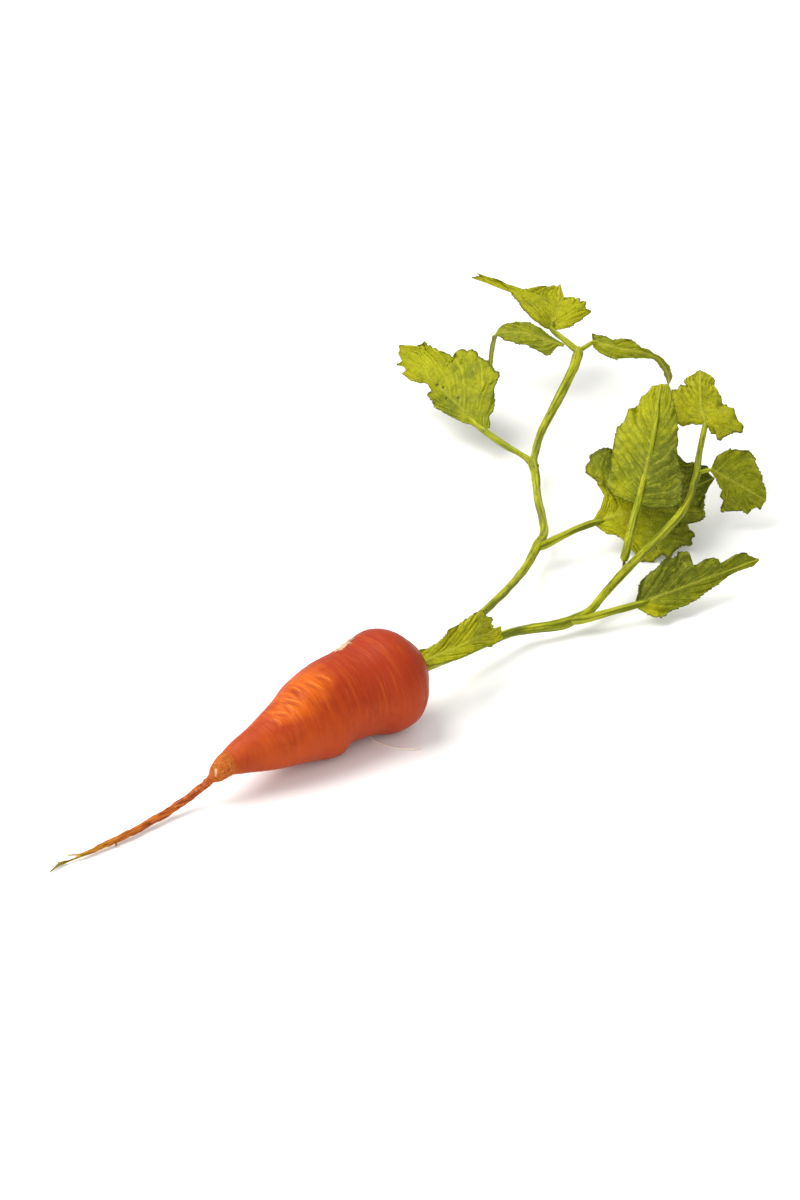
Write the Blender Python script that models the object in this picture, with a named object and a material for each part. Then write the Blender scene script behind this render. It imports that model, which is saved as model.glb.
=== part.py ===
"""A picked carrot lying on its side, with its leaf stalks and leaves still on.

Frame: the origin is on the surface it lies on, in the small flat under the widest ring
of the root.
+X runs along the root from its tail to its crown, +Z is up.
Every root and stalk route is a list of (x, y, z, radius) points in millimetres.
"""
import math

import bpy
import bmesh
from mathutils import Vector

MM = 0.001

# ---- root -----------------------------------------------------------------
BODY_ROUTE = [
    (10.6, 1.7, 22.0, 15.6),
    (6.5, 0.6, 22.0, 19.4),
    (2.0, 0.5, 21.7, 21.9),
    (-4.0, 0.4, 22.0, 22.5),
    (-10.0, 0.6, 21.5, 21.7),
    (-19.0, 2.4, 21.4, 19.4),
    (-32.0, 3.8, 20.4, 18.4),
    (-46.0, 3.2, 19.0, 16.6),
    (-56.0, 1.6, 17.8, 14.2),
    (-70.0, 1.4, 16.5, 10.4),
    (-81.5, 2.4, 15.4, 7.2),
    (-88.5, 2.5, 14.8, 5.2),
    (-92.5, 1.9, 14.2, 4.2),
]
TAIL_ROUTE = [
    (-95.2, 2.4, 12.9, 3.2),
    (-97.4, 3.4, 10.6, 1.8),
    (-105.0, 5.4, 6.2, 1.5),
    (-118.0, 5.7, 3.2, 1.5),
    (-137.0, 4.9, 2.4, 1.4),
    (-157.0, 5.3, 2.0, 1.2),
    (-177.0, 6.8, 1.6, 0.9),
]
CROWN_LIP = (12.8, 1.8, 22.1, 11.2)
CROWN_WALL = (12.0, 1.9, 22.1, 8.5)
CROWN_FLOOR = (10.8, 2.0, 22.1, 7.0)
ROOT_SIDES = 24

LUMP_X = -38.5
LUMP_HEIGHT = 3.4
LUMP_TOWARDS = math.radians(232.0)
LUMP_TO_TAIL = 13.0
LUMP_TO_CROWN = 5.5

# ---- stalks ---------------------------------------------------------------
STALK_SIDES = 8
JOINT_GAP = 0.3

STALKS = {
    "stalk_tall": [
        (12.0, 4.4, 24.0, 2.3), (31, 5, 22, 2.2), (70, 20, 17, 2.1), (103, 35, 13, 2.1),
        (133, 52, 11, 2.2), (151, 64, 11, 2.2), (170, 87, 12, 2.0), (189, 109, 14, 2.1),
        (211, 127, 17, 2.1), (233, 140, 22, 2.2), (253, 150, 28, 2.4), (264, 158, 31, 2.3),
    ],
    "stalk_low": [
        (12.0, -1.4, 20.2, 2.3), (27, 2, 18, 2.2), (44, 5, 14, 2.1), (74, 9, 10, 2.1),
        (87, 9, 8, 2.1), (102, 4, 7, 2.2), (119, 2, 8, 2.1), (133, 6, 10, 2.1),
        (148, 10, 12.5, 2.0), (164, 13, 16, 1.9), (179, 15, 20, 1.8), (190, 17, 23, 1.8),
        (202, 22, 26, 1.7), (211, 28, 28, 1.6), (219, 33, 30, 1.4), (228, 41, 33, 1.2),
        (244.5, 53.5, 36.6, 1.0),
    ],
}

# name: (pieces that its foot is trimmed against, route)
TWIGS = {
    "twig_broad": (["stalk_tall"], [
        (139, 55, 11, 1.7), (150, 52, 13, 1.7), (160, 51, 14, 1.6), (169, 50, 14, 1.5),
    ]),
    "twig_left": (["stalk_tall"], [
        (188, 108, 14, 1.6), (189, 118, 15, 1.5), (189, 132, 16, 1.6), (190.8, 148.5, 17, 1.6),
    ]),
    "twig_top": (["stalk_tall"], [
        (264, 157, 31, 1.7), (265, 167, 32, 1.5), (266, 178, 33.6, 1.3),
    ]),
    "twig_drooping": (["stalk_tall", "twig_top"], [
        (263, 157.5, 31, 1.3), (270, 158.5, 31, 1.2), (275, 159, 31, 1.1),
    ]),
    "branch_low": (["stalk_low"], [
        (108, 2.5, 7.4, 1.7), (114, -2, 7.4, 1.8), (123, -5, 8, 1.8), (136, -9.5, 9, 1.7),
    ]),
    "twig_upright": (["stalk_low"], [
        (146, 9, 12, 1.6), (165, 23, 20, 1.8), (179, 32.3, 26.4, 1.7),
    ]),
    "twig_side": (["stalk_low"], [
        (217, 32, 29.6, 0.9), (220, 31, 30, 0.9), (223.4, 29.4, 30, 0.8),
    ]),
}

# ---- leaves ---------------------------------------------------------------
LEAF_THICKNESS = 0.9
LEAF_ROWS = 14
LEAF_COLUMNS = 3

# midrib: points in mm; side: which way the left half grows; fold: how far both halves rise.
# left and right: the edge from base to tip, as (mm along the midrib, mm away from it).
LEAVES = {
    "leaf_basal": {
        "midrib": [(22, -3, 25), (37, -5, 26), (62, -1, 23)], "side": (-0.04, 0.83, 0.56), "fold": 8,
        "left": [(9, 6), (18, 8), (30, 9), (37, 10), (38, 7), (43, 5), (39, 2)],
        "right": [(9, -5), (26, -4), (35, -5), (40, -4), (43, -2)],
    },
    "leaf_left": {
        "midrib": [(191, 150, 17), (197, 184, 23), (199, 217, 30)], "side": (0.77, -0.21, 0.61),
        "fold": 0,
        "left": [(-4, 3), (6, 11), (13, 18), (17, 25), (21, 26), (33, 24), (38, 25), (42, 20),
                 (41, 16), (46, 14), (60, 11), (71, 3)],
        "right": [(7, -3), (24, -8), (38, -7), (44, -3), (58, -6), (67, -4)],
    },
    "leaf_top": {
        "midrib": [(267, 180, 34), (281, 190, 38), (293, 201, 42)], "side": (-0.66, 0.73, 0.2),
        "fold": 10,
        "left": [(0.5, 12.5), (12, 19.5), (19.5, 23.5), (22.5, 31), (24.5, 43), (23, 43), (20.5, 31),
                 (22, 21), (28, 11), (31, 3)],
        "right": [(1, -2), (12, -13), (19, -17), (19, -13), (25, -10), (24, -3), (30, -2)],
    },
    "leaf_curled": {
        "midrib": [(260.5, 169.5, 32), (255, 182, 34), (249.5, 198, 31), (251, 204, 24),
                   (257.5, 212.5, 12), (262, 218, 1.4)],
        "side": (0.68, 0.45, 0.57), "fold": 0,
        "left": [(3, 2), (14, 5), (23, 5.5), (31, 4.5), (38, 2), (44, 1.2), (69, 0.8)],
        "right": [(7, -7), (16, -6), (27, -6), (32, -4), (38, -2), (44, -1.2), (69, -0.8)],
    },
    "leaf_drooping": {
        "midrib": [(276, 159, 31), (282, 147, 30), (294, 136, 26), (300, 134, 19),
                   (307, 137.5, 10), (312, 142, 2.5)],
        "side": (0.58, 0.31, 0.75), "fold": 0,
        "left": [(-1.5, 3.5), (3, 4.5), (10, 4), (16, 5), (23, 3.5), (29, 2.5), (31, 1.2),
                 (37, 1.6), (45, 2), (58, 0.8)],
        "right": [(2, -1.5), (5, -4), (10, -5), (18, -4.5), (28, -3), (31, -1.2), (38, -1.6),
                  (45, -1.5), (58, -0.8)],
    },
    "leaf_broad": {
        "midrib": [(170, 50, 14), (194, 38, 19), (230, 33, 22)], "side": (0.08, 0.73, 0.68),
        "fold": 0,
        "left": [(2, 2), (8, 8), (9, 14), (3, 24), (6, 30), (18, 33), (27, 33), (48, 24),
                 (57, 11), (65, 4)],
        "right": [(5, -4), (14, -15), (16, -21), (23, -23), (38, -22), (40, -20), (36, -14),
                  (49, -15), (50, -8), (63, -3)],
    },
    "leaf_upright": {
        "midrib": [(180, 33, 27), (199, 45, 42), (233, 72, 55)], "side": (-0.63, 0.78, 0.03),
        "fold": 0,
        "left": [(0, 7), (4, 15), (10, 18), (28, 17), (43, 17), (53, 12), (65, 8)],
        "right": [(0, -10), (5, -18), (21, -15), (37, -11), (53, -10), (67, -6)],
    },
    "leaf_spear": {
        "midrib": [(245.5, 54.5, 37), (257, 69, 42), (273, 85, 44)], "side": (-0.73, 0.65, 0.23),
        "fold": 0,
        "left": [(2, 6), (10, 14), (16, 16), (18, 11), (24, 7), (33, 5)],
        "right": [(-6, -9), (-3, -18), (9, -14), (23, -11), (30, -7), (38, -4)],
    },
    "leaf_side": {
        "midrib": [(224.3, 28.9, 30), (234, 21, 22), (243, 12, 14)], "side": (0.6, -0.08, 0.8),
        "fold": 0,
        "left": [(0, 8), (4, 13), (12, 16), (19, 11), (28, 4)],
        "right": [(3, -3), (10, -8), (14, -15), (21, -12), (28, -5)],
    },
    "leaf_low": {
        "midrib": [(137, -10, 9), (164, -17, 12), (200, -24, 14)], "side": (0.1, 0.67, 0.74),
        "fold": 0,
        "left": [(4, 6), (8, 10), (18, 15), (31, 15), (30, 8), (43, 8), (45, 5), (55, 6)],
        "right": [(6, -9), (24, -7), (40, -4), (52, -1.5)],
    },
}

# ---- finishes: base colour (linear RGB), roughness --------------------------
SKIN = ((0.62, 0.12, 0.02), 0.42)
STALK = ((0.24, 0.27, 0.025), 0.5)
LEAF = ((0.25, 0.33, 0.02), 0.55)


def clear_scene():
    for obj in list(bpy.data.objects):
        bpy.data.objects.remove(obj, do_unlink=True)


def smooth(points, steps):
    """Points on a smooth curve (Catmull-Rom) that passes through every given point."""
    ends = [[2 * a - b for a, b in zip(points[0], points[1])],
            [2 * a - b for a, b in zip(points[-1], points[-2])]]
    knots = [ends[0], *points, ends[1]]
    curve = []
    for a, b, c, d in zip(knots, knots[1:], knots[2:], knots[3:]):
        for step in range(steps):
            t = step / steps
            curve.append([
                0.5 * (2 * q + (r - p) * t + (2 * p - 5 * q + 4 * r - s) * t ** 2
                       + (3 * q - p - 3 * r + s) * t ** 3)
                for p, q, r, s in zip(a, b, c, d)
            ])
    curve.append(list(points[-1]))
    return curve


def finish(name, bm, finish_values):
    """Close up a bmesh as a named object with its own material."""
    bmesh.ops.recalc_face_normals(bm, faces=bm.faces)
    mesh = bpy.data.meshes.new(name)
    bm.to_mesh(mesh)
    bm.free()
    mesh.shade_smooth()
    obj = bpy.data.objects.new(name, mesh)
    bpy.context.scene.collection.objects.link(obj)
    colour, roughness = finish_values
    material = bpy.data.materials.new(name)
    material.use_nodes = True
    shader = material.node_tree.nodes["Principled BSDF"]
    shader.inputs["Base Color"].default_value = (*colour, 1.0)
    shader.inputs["Roughness"].default_value = roughness
    shader.inputs["Metallic"].default_value = 0.0
    mesh.materials.append(material)
    return obj


def ring_frames(route):
    """Centre, two cross directions and radius at each point of a route, without twist."""
    centres = [Vector(point[:3]) for point in route]
    across = Vector((0.0, 1.0, 0.0))
    frames = []
    for index, point in enumerate(route):
        before = centres[max(index - 1, 0)]
        after = centres[min(index + 1, len(route) - 1)]
        along = (after - before).normalized()
        across = (across - along * across.dot(along)).normalized()
        frames.append((centres[index], across, along.cross(across), point[3]))
    return frames


def loft(bm, rings):
    """Skin a list of vertex rings and close both ends with a flat cap."""
    for ring, following in zip(rings, rings[1:]):
        for index in range(len(ring)):
            following_index = (index + 1) % len(ring)
            bm.faces.new((ring[index], ring[following_index],
                          following[following_index], following[index]))
    bm.faces.new(rings[0])
    bm.faces.new(rings[-1])


def tube(name, route, sides, steps, extra_radius=0.0):
    bm = bmesh.new()
    rings = []
    for centre, across, upward, radius in ring_frames(smooth(route, steps)):
        ring = []
        for side in range(sides):
            angle = 2 * math.pi * side / sides
            reach = radius + extra_radius
            place = centre + (across * math.cos(angle) + upward * math.sin(angle)) * reach
            ring.append(bm.verts.new(place * MM))
        rings.append(ring)
    loft(bm, rings)
    return finish(name, bm, STALK)


def lump_height(x, angle):
    """The one-sided swelling under the root, steep towards the crown."""
    width = LUMP_TO_CROWN if x > LUMP_X else LUMP_TO_TAIL
    along = math.exp(-((x - LUMP_X) / width) ** 2)
    around = max(0.0, math.cos(angle - LUMP_TOWARDS)) ** 2
    return LUMP_HEIGHT * along * around


def make_root():
    """Crown, body and tail grew as one piece: one loft, pressed flat where it rests.

    Half a step turns each ring, so that a side of it and not a corner faces down.
    """
    bm = bmesh.new()
    route = [CROWN_FLOOR, CROWN_WALL, CROWN_LIP] + smooth(BODY_ROUTE, 2)
    stations = [(Vector(point[:3]), Vector((0, 1, 0)), Vector((0, 0, 1)), point[3])
                for point in route]
    stations += ring_frames([BODY_ROUTE[-1]] + smooth(TAIL_ROUTE, 2))[1:]
    rings = []
    for centre, across, upward, radius in stations:
        if upward.z < 0:
            upward = -upward
        ring = []
        for side in range(ROOT_SIDES):
            angle = 2 * math.pi * (side + 0.5) / ROOT_SIDES
            reach = radius + lump_height(centre.x, angle)
            place = centre + (across * math.cos(angle) + upward * math.sin(angle)) * reach
            place.z = max(place.z, 0.0)
            ring.append(bm.verts.new(place * MM))
        rings.append(ring)
    loft(bm, rings)
    return finish("root", bm, SKIN)


def cut_to_fit(twig, route):
    """Trim the foot of a twig to the piece that it grows from, less the gap between them."""
    cutter = tube("cutter", route, STALK_SIDES, 2, JOINT_GAP)
    cut = twig.modifiers.new("foot", "BOOLEAN")
    cut.operation = "DIFFERENCE"
    cut.solver = "EXACT"
    cut.object = cutter
    evaluated = twig.evaluated_get(bpy.context.evaluated_depsgraph_get())
    trimmed = bpy.data.meshes.new_from_object(evaluated)
    twig.modifiers.clear()
    twig.data = trimmed
    bpy.data.objects.remove(cutter, do_unlink=True)


def along_curve(curve, distance):
    """Point and direction at a distance along a curve, straight on past its ends."""
    points = [Vector(point) for point in curve]
    for start, end in zip(points, points[1:]):
        length = (end - start).length
        if distance <= length or end is points[-1]:
            direction = (end - start).normalized()
            return start + direction * distance, direction
        distance -= length
    return points[-1], direction


def along_edge(edge, share):
    """Point at a share of the length of a polyline."""
    points = [Vector(point) for point in edge]
    lengths = [(end - start).length for start, end in zip(points, points[1:])]
    wanted = share * sum(lengths)
    for start, end, length in zip(points, points[1:], lengths):
        if wanted <= length:
            return start.lerp(end, wanted / length)
        wanted -= length
    return points[-1]


def leaf_point(curve, side, fold, along, across):
    """A point of the leaf and the leaf's upward direction there."""
    place, direction = along_curve(curve, along)
    outward = (side - direction * side.dot(direction)).normalized()
    up = direction.cross(outward)
    place += outward * across * math.cos(fold) + up * abs(across) * math.sin(fold)
    return place, up


def make_leaf(name, shape):
    """A thin closed blade: rows of points run from the midrib out to both edges."""
    curve = smooth(shape["midrib"], 6)
    length = sum((Vector(b) - Vector(a)).length for a, b in zip(curve, curve[1:]))
    side = Vector(shape["side"])
    fold = math.radians(shape["fold"])
    foot = LEAF_THICKNESS * 0.8
    edges = [[(0, foot), *shape["left"], (length, foot * 0.5)],
             [(0, -foot), *shape["right"], (length, -foot * 0.5)]]
    bm = bmesh.new()
    sheets = ([], [])
    for row in range(LEAF_ROWS + 1):
        share = row / LEAF_ROWS
        middle = Vector((length * share, 0))
        left, right = (along_edge(edge, share) for edge in edges)
        flat = [middle.lerp(left, k / LEAF_COLUMNS) for k in range(LEAF_COLUMNS, 0, -1)]
        flat += [middle.lerp(right, k / LEAF_COLUMNS) for k in range(LEAF_COLUMNS + 1)]
        for sheet, offset in zip(sheets, (LEAF_THICKNESS / 2, -LEAF_THICKNESS / 2)):
            line = []
            for along, across in flat:
                place, up = leaf_point(curve, side, fold, along, across)
                line.append(bm.verts.new((place + up * offset) * MM))
            sheet.append(line)
    for top, top_next, low, low_next in zip(sheets[0], sheets[0][1:], sheets[1], sheets[1][1:]):
        loop = [*top, *reversed(low)]
        loop_next = [*top_next, *reversed(low_next)]
        for index in range(len(loop)):
            other = (index + 1) % len(loop)
            bm.faces.new((loop[index], loop[other], loop_next[other], loop_next[index]))
    for row in (0, LEAF_ROWS):
        top, low = sheets[0][row], sheets[1][row]
        for index in range(len(top) - 1):
            bm.faces.new((top[index], top[index + 1], low[index + 1], low[index]))
    return finish(name, bm, LEAF)


def main():
    clear_scene()
    make_root()
    for name, route in STALKS.items():
        tube(name, route, STALK_SIDES, 2)
    routes = dict(STALKS)
    for name, (neighbours, route) in TWIGS.items():
        routes[name] = route
        twig = tube(name, route, STALK_SIDES, 3)
        for neighbour in neighbours:
            cut_to_fit(twig, routes[neighbour])
    for name, shape in LEAVES.items():
        make_leaf(name, shape)


main()
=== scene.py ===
# %% [markdown]
# # A picked carrot, lying down
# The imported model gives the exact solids: one root, two long stalks, seven twigs and ten
# leaflets. They settle where everything is and how large it is. Each of them is replaced here
# by a finer piece with a living surface, made in the same place.

# %% Load the frame
import math

import bpy
import numpy as np
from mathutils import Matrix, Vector, noise


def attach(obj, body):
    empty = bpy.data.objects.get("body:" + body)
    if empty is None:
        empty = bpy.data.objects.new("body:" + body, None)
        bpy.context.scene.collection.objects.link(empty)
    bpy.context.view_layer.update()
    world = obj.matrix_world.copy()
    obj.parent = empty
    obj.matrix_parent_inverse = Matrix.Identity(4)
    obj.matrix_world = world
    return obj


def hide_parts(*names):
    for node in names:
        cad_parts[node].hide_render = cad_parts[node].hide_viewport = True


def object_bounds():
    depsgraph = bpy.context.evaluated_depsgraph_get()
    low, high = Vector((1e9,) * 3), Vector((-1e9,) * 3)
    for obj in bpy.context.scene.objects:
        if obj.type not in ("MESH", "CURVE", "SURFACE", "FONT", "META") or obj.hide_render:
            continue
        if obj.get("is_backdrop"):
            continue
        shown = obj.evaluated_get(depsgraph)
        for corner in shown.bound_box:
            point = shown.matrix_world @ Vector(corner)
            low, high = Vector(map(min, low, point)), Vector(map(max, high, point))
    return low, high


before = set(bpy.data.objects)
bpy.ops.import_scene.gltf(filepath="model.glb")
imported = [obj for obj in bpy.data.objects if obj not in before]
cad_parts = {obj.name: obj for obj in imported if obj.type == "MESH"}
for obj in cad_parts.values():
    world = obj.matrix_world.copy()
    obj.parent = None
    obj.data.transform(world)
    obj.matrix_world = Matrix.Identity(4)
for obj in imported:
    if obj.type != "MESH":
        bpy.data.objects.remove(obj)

MM = 0.001
CAD_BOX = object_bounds()
print("solids:", len(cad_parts), "box:", [round(v, 4) for v in (*CAD_BOX[0], *CAD_BOX[1])])

# %% [markdown]
# ## The camera, the floor and the light
# A vegetable on a white sweep is lit by one large lamp, high up and to the viewer's left, so
# that its upper side is bright, its front is in soft shade and its shadow falls to the right. A
# pale, slightly glossy floor throws light back into that shade. The camera comes first because
# every later choice is judged through it.

# %% Camera
HEADING = math.radians(42)
LOOK_DOWN = math.radians(30)
LENS_MM = 113
DISTANCE = 1.6
LOOK_AT = Vector((0.02, 0.017, 0.045))

line_of_sight = Vector((math.sin(HEADING) * math.cos(LOOK_DOWN),
                        math.cos(HEADING) * math.cos(LOOK_DOWN), -math.sin(LOOK_DOWN)))
bpy.ops.object.camera_add(location=LOOK_AT - line_of_sight * DISTANCE,
                          rotation=(math.pi / 2 - LOOK_DOWN, 0, -HEADING))
camera = bpy.context.object
camera.data.lens = LENS_MM
camera.data.sensor_width = 36
camera.data.dof.use_dof = False
camera.data.clip_end = 20
bpy.context.scene.camera = camera
bpy.context.scene.view_settings.view_transform = "Standard"
print("camera at", [round(v, 3) for v in camera.location])


# %% Lamps
LAMPS_AIM_AT = Vector((0.06, 0.04, 0.02))
SKY_STRENGTH = 0.72


def add_softbox(name, place, size, watts, colour):
    """A square area lamp that looks at the middle of the carrot."""
    towards = (LAMPS_AIM_AT - Vector(place)).to_track_quat("-Z", "Y")
    bpy.ops.object.light_add(type="AREA", location=place, rotation=towards.to_euler())
    lamp = bpy.context.object
    lamp.name = name
    lamp.data.shape = "SQUARE"
    lamp.data.size = size
    lamp.data.energy = watts
    lamp.data.color = colour
    print(name, watts, "W,", size, "m wide")


add_softbox("key_softbox", (-0.5, 0.62, 1.27), 1.2, 27, (1.0, 0.98, 0.95))
add_softbox("front_fill", (-0.9, -1.1, 1.0), 1.2, 8, (1.0, 0.99, 0.98))

world = bpy.data.worlds.new("studio")
bpy.context.scene.world = world
world.use_nodes = True
sky = world.node_tree.nodes["Background"].inputs
sky["Color"].default_value = (1.0, 1.0, 1.0, 1.0)
sky["Strength"].default_value = SKY_STRENGTH

# %% [markdown]
# ## Writing a finish as arithmetic
# A finish is a graph of shader nodes. Wired by hand it is hard to read, so two small classes
# let a number that varies over the surface be used like a number in Python: an expression such
# as `1 - mask * 0.5` adds the Math nodes for it. Colours go through Mix nodes, because a Math
# node would turn them grey.


# %% Helper: numbers that vary over a surface
class Field:
    """A socket that can be added, multiplied and compared as if it were a number."""

    def __init__(self, finish, socket):
        self.finish = finish
        self.socket = socket

    def _math(self, operation, first, second=0.0):
        return self.finish.add("ShaderNodeMath", {"operation": operation},
                               {0: first, 1: second})[0]

    def __add__(self, other):
        return self._math("ADD", self, other)

    def __sub__(self, other):
        return self._math("SUBTRACT", self, other)

    def __mul__(self, other):
        return self._math("MULTIPLY", self, other)

    def __truediv__(self, other):
        return self._math("DIVIDE", self, other)

    def __rsub__(self, other):
        return self._math("SUBTRACT", other, self)

    def __abs__(self):
        return self._math("ABSOLUTE", self)

    __radd__ = __add__
    __rmul__ = __mul__


class Finish:
    """A material with one Principled shader and a short way to add nodes to it."""

    def __init__(self, name, **constants):
        self.material = bpy.data.materials.new(name)
        self.material.use_nodes = True
        self.tree = self.material.node_tree
        self.shader = self.tree.nodes["Principled BSDF"]
        for socket, value in constants.items():
            self.shader.inputs[socket.replace("_", " ")].default_value = value

    def feed(self, socket, value):
        if isinstance(value, Field):
            self.tree.links.new(value.socket, socket)
        else:
            socket.default_value = value

    def add(self, kind, settings, sockets):
        """Add a node: its settings first, then its sockets. Gives its outputs."""
        node = self.tree.nodes.new(kind)
        for key, value in settings.items():
            if key == "stops":
                self._set_stops(node.color_ramp, value)
            else:
                setattr(node, key, value)
        for key, value in sockets.items():
            self.feed(node.inputs[key], value)
        return [Field(self, output) for output in node.outputs]

    @staticmethod
    def _set_stops(ramp, stops):
        while len(ramp.elements) < len(stops):
            ramp.elements.new(1.0)
        for element, (place, value) in zip(ramp.elements, stops):
            element.position = place
            element.color = (*value, 1.0)

    def place(self):
        """Where the point is on the piece, in metres."""
        return self.add("ShaderNodeTexCoord", {}, {})[3]

    def attribute(self, name):
        """A vector stored on the mesh's own points."""
        return self.add("ShaderNodeAttribute", {"attribute_name": name}, {})[1]

    def attribute_value(self, name):
        """A number stored on the mesh's own points."""
        return self.add("ShaderNodeAttribute", {"attribute_name": name}, {})[2]

    def parts(self, vector):
        return self.add("ShaderNodeSeparateXYZ", {}, {0: vector})[:3]

    def stretched(self, vector, scale):
        return self.add("ShaderNodeMapping", {}, {"Vector": vector, "Scale": scale})[0]

    def far_from(self, point, place, scale=(1, 1, 1)):
        """Distance between a point and each place; scale weighs the axes, for an oval."""
        offset = self.add("ShaderNodeVectorMath", {"operation": "SUBTRACT"},
                          {0: place, 1: point})[0]
        return self.add("ShaderNodeVectorMath", {"operation": "LENGTH"},
                        {0: self.stretched(offset, scale)})[1]

    def grain(self, vector, scale, detail=3.0, roughness=0.55):
        """Noise from 0 to 1, about 0.5, whose period is 1 / scale along each axis."""
        return self.add("ShaderNodeTexNoise", {},
                        {"Vector": self.stretched(vector, scale), "Scale": 1.0,
                         "Detail": detail, "Roughness": roughness})[0]

    def step(self, value, low, high):
        """0 below low, 1 above high and a soft ramp between them."""
        return self.add("ShaderNodeMapRange", {"interpolation_type": "SMOOTHSTEP"},
                        {"Value": value, "From Min": low, "From Max": high})[0]

    def ramp(self, value, stops):
        return self.add("ShaderNodeValToRGB", {"stops": stops}, {"Fac": value})[0]

    def mix(self, share, first, second):
        """Colour: first where share is 0, second where it is 1."""
        node = self.tree.nodes.new("ShaderNodeMix")
        node.data_type = "RGBA"
        for socket, value in ((node.inputs[0], share), (node.inputs[6], first),
                              (node.inputs[7], second)):
            self.feed(socket, (*value, 1.0) if isinstance(value, tuple) else value)
        return Field(self, node.outputs[2])

    def stain(self, colour, marks, tint):
        """Lay a tint over a colour, for each of some marks: a number that varies, the value
        where the mark begins to show, the value where it is full, and its greatest share."""
        number, low, high, share = marks
        return self.mix(self.step(number, low, high) * share, colour, tint)

    def finish(self, colour, roughness, height, depth):
        """Wire the shader: height is in parts of depth, which is in metres."""
        self.feed(self.shader.inputs["Base Color"], colour)
        self.feed(self.shader.inputs["Roughness"], roughness)
        bump = self.add("ShaderNodeBump", {}, {"Height": height, "Distance": depth})[0]
        self.feed(self.shader.inputs["Normal"], bump)
        return self.material


# %% Floor
def select_nothing():
    """Operators act on all that is selected, and the solids are selected at first."""
    bpy.ops.object.select_all(action="DESELECT")


floor_finish = Finish("white_sweep", Roughness=0.22, Specular_IOR_Level=0.35)
floor_place = floor_finish.place()
floor_haze = floor_finish.grain(floor_place, (3, 3, 3))
floor_finish.feed(floor_finish.shader.inputs["Base Color"],
                  floor_finish.mix(floor_haze, (0.9, 0.9, 0.9), (0.93, 0.93, 0.93)))

select_nothing()
bpy.ops.mesh.primitive_plane_add(size=9, location=(0.5, 0.5, 0))
floor = bpy.context.object
floor.name = "sweep"
bpy.ops.object.transform_apply(location=True, rotation=True, scale=True)
floor.data.materials.append(floor_finish.material)
floor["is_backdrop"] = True
print("floor", [round(v, 1) for v in floor.dimensions])

# %% [markdown]
# ## Curves through a few points
# The root, the stalks and the midribs all follow a bent line. Each line is a short list of
# points, close to the route of the solid that it stands for, and a Catmull-Rom curve passes
# smoothly through them. The helper works on any number of values per point, so a radius can
# ride along.


# %% Helper: smooth curves
def smooth(points, steps):
    """A smooth curve through every given point, as an array with one row for each place."""
    given = np.array(points, dtype=float)
    knots = np.vstack([2 * given[0] - given[1], given, 2 * given[-1] - given[-2]])
    t = (np.arange(steps) / steps)[:, None]
    spans = []
    for a, b, c, d in zip(knots, knots[1:], knots[2:], knots[3:]):
        spans.append(0.5 * (2 * b + (c - a) * t + (2 * a - 5 * b + 4 * c - d) * t ** 2
                            + (3 * b - a - 3 * c + d) * t ** 3))
    return np.vstack([*spans, given[-1:]])


def lengths_along(curve):
    """Distance from the start of a curve to each of its places."""
    strides = np.linalg.norm(np.diff(curve[:, :3], axis=0), axis=1)
    return np.concatenate([[0.0], np.cumsum(strides)])


def wobble(places, period, seed):
    """Smooth noise from -1 to 1 at each place; period is its size in metres along each axis."""
    shift = Vector((seed * 7.3, seed * 3.1, seed * 5.7))
    scale = 1.0 / np.array(period)
    return np.array([noise.noise(Vector(place * scale) + shift) for place in places])


def read_places(mesh):
    flat = np.empty(len(mesh.vertices) * 3)
    mesh.vertices.foreach_get("co", flat)
    return flat.reshape(-1, 3)


def write_places(mesh, places):
    mesh.vertices.foreach_set("co", places.ravel())
    mesh.update()


def settle(piece, name, node_names, material):
    """Name a finished piece, give it its finish, hang it on the root and hide the solids it stands for.
    """
    piece.name = name
    piece.data.materials.clear()
    piece.data.materials.append(material)
    select_nothing()
    piece.select_set(True)
    bpy.context.view_layer.objects.active = piece
    bpy.ops.object.shade_smooth()
    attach(piece, "root")
    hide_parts(*node_names)
    size = np.ptp(read_places(piece.data), axis=0) / MM
    print(name, "faces", len(piece.data.polygons), "mm", [round(v, 1) for v in size])


# %% Helper: store a number or a vector on every point
def store(mesh, name, values):
    kind = "FLOAT_VECTOR" if values.ndim == 2 else "FLOAT"
    stored = mesh.attributes.new(name, kind, "POINT")
    stored.data.foreach_set("vector" if values.ndim == 2 else "value", values.ravel())


# %% [markdown]
# ## The root: its outline
# A carrot is a swollen taproot: a round shoulder, a body that narrows to a knob and a thin tail
# that still draws water. It could be turned as one profile, but a real one leans and has a
# lump where the ground pushed back. So it is drawn out ring by ring, as on a potter's wheel
# whose centre wanders: a disc is laid in the crown's hollow, and each ring is extruded from the
# last one, moved and resized.

# %% Root: where the rings go
# (x, y, z, radius) in mm, from the crown down to the tip of the tail
CROWN_ROUTE = [(10.3, 2.0, 22.1, 7.0), (11.1, 1.95, 22.1, 8.2), (11.8, 1.9, 22.1, 9.4),
               (12.0, 1.8, 22.2, 11.1), (11.4, 1.75, 22.25, 13.0)]
BODY_ROUTE = [(9.2, 1.7, 22.3, 14.7), (5.1, 0.8, 22.4, 18.6), (1.0, 0.7, 22.2, 21.5),
              (-4.2, 0.5, 22.4, 22.6), (-10.0, 0.7, 21.9, 21.8), (-19.0, 2.4, 21.5, 19.5),
              (-32.0, 3.8, 20.5, 18.5), (-46.0, 3.2, 19.3, 16.8), (-56.0, 1.6, 18.0, 14.3),
              (-70.0, 1.4, 16.7, 10.5), (-81.5, 2.4, 16.1, 7.4), (-87.0, 2.6, 15.7, 5.5),
              (-90.5, 2.5, 15.1, 4.8)]
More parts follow.
